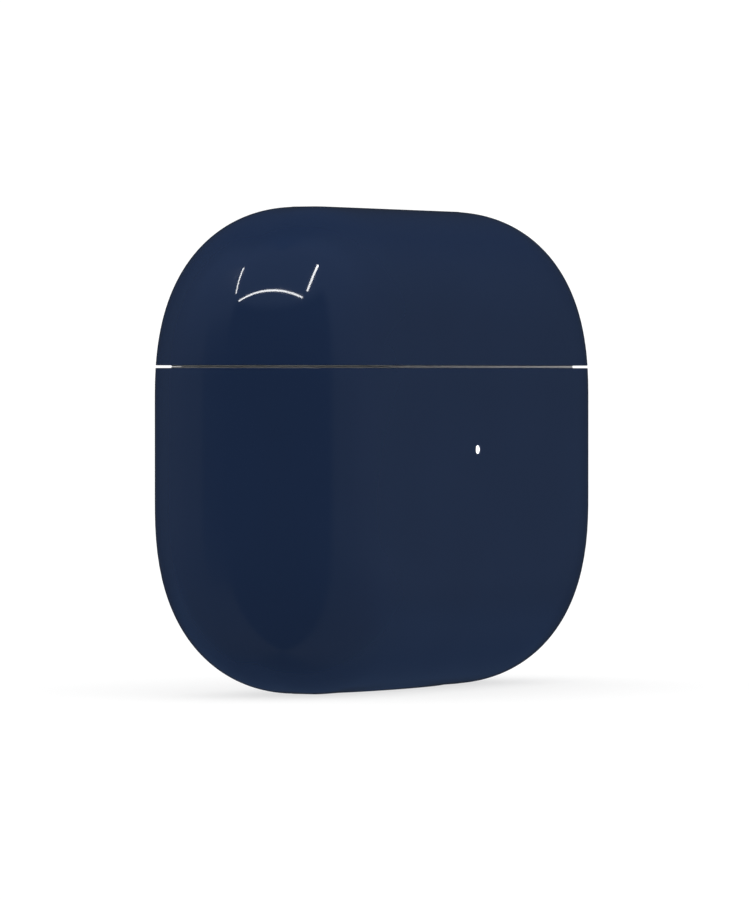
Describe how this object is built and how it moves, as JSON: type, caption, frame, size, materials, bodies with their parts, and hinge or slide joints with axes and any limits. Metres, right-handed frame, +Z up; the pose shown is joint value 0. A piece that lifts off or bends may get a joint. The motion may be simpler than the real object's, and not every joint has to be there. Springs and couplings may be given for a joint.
{
  "type": "wireless earbuds case",
  "caption": "Pebble-shaped charging case for wireless earbuds, with a rear-hinged flip lid, moulded earbud wells, a pairing button and a charging socket in its base.",
  "frame": {"origin": "middle of the base, under the centre of the case, where it stands", "axes": "+X right seen from the front, -Y front with the status light, +Y rear with the hinge and the pairing button, +Z up"},
  "size_m": [0.0606, 0.0218, 0.0452],
  "materials": {
    "navy_gloss": "deep navy gloss lacquer",
    "ivory_gloss": "smooth off-white moulding",
    "satin_steel": "fine satin stainless steel",
    "bronze": "spring bronze",
    "gold": "gold-plated contact",
    "copper": "enamelled copper wire",
    "seal_rubber": "soft black silicone",
    "black_plastic": "moulded black plastic",
    "light_white": "milky diffuser",
    "board_green": "solder-masked circuit board",
    "amber_film": "polyimide film",
    "cell_wrap": "dull foil pouch",
    "magnet_plate": "nickel-plated magnet"
  },
  "bodies": {
    "base": {"body_shell": "navy_gloss", "cradle": "ivory_gloss", "hinge_base_bracket": "satin_steel", "hinge_pin": "satin_steel", "base_bracket_screws": "satin_steel", "board_screws": "satin_steel", "shield_can": "satin_steel", "usb_receptacle": "satin_steel", "port_trim": "satin_steel", "hinge_washers": "bronze", "usb_contacts": "gold", "coil_leads": "copper", "charging_coil": "copper", "button_gasket": "seal_rubber", "port_gasket": "seal_rubber", "battery_tape": "seal_rubber", "tact_switch": "black_plastic", "hall_sensor": "black_plastic", "board_chips": "black_plastic", "usb_tongue": "black_plastic", "left_contact_block": "black_plastic", "right_contact_block": "black_plastic", "coil_ferrite": "black_plastic", "light_pipe": "light_white", "status_led": "light_white", "sensor_board": "board_green", "main_board": "board_green", "port_board": "board_green", "sensor_flex": "amber_film", "battery_leads": "amber_film", "left_battery": "cell_wrap", "right_battery": "cell_wrap", "base_magnets": "magnet_plate", "earbud_magnets": "magnet_plate", "left_outer_spring": "satin_steel", "left_inner_spring": "satin_steel", "right_outer_spring": "satin_steel", "right_inner_spring": "satin_steel"},
    "lid": {"lid_shell": "navy_gloss", "lid_liner": "ivory_gloss", "hinge_lid_bracket": "satin_steel", "lid_bracket_screws": "satin_steel", "lid_magnets": "magnet_plate"},
    "button": {"pairing_button": "navy_gloss", "switch_plunger": "ivory_gloss"},
    "left_outer_pin_plunger": {"left_outer_pin": "gold"},
    "left_inner_pin_plunger": {"left_inner_pin": "gold"},
    "right_outer_pin_plunger": {"right_outer_pin": "gold"},
    "right_inner_pin_plunger": {"right_inner_pin": "gold"}
  },
  "joints": [
    {"name": "lid_hinge", "type": "hinge", "parent": "base", "child": "lid", "pos_m": [0, 0.0097, 0.03035], "axis": [-1, 0, 0], "range_deg": [0, 105]},
    {"name": "button_press", "type": "slide", "parent": "base", "child": "button", "axis": [0, -1, 0], "range_m": [0, 0.0003], "stiffness_N_per_m": 4000, "springref_m": -0.0001},
    {"name": "left_outer_contact", "type": "slide", "parent": "base", "child": "left_outer_pin_plunger", "axis": [0, 0, -1], "range_m": [0, 0.0006], "stiffness_N_per_m": 400, "springref_m": -0.0004, "deforming": ["left_outer_spring"]},
    {"name": "left_inner_contact", "type": "slide", "parent": "base", "child": "left_inner_pin_plunger", "axis": [0, 0, -1], "range_m": [0, 0.0006], "stiffness_N_per_m": 400, "springref_m": -0.0004, "deforming": ["left_inner_spring"]},
    {"name": "right_outer_contact", "type": "slide", "parent": "base", "child": "right_outer_pin_plunger", "axis": [0, 0, -1], "range_m": [0, 0.0006], "stiffness_N_per_m": 400, "springref_m": -0.0004, "deforming": ["right_outer_spring"]},
    {"name": "right_inner_contact", "type": "slide", "parent": "base", "child": "right_inner_pin_plunger", "axis": [0, 0, -1], "range_m": [0, 0.0006], "stiffness_N_per_m": 400, "springref_m": -0.0004, "deforming": ["right_inner_spring"]}
  ]
}
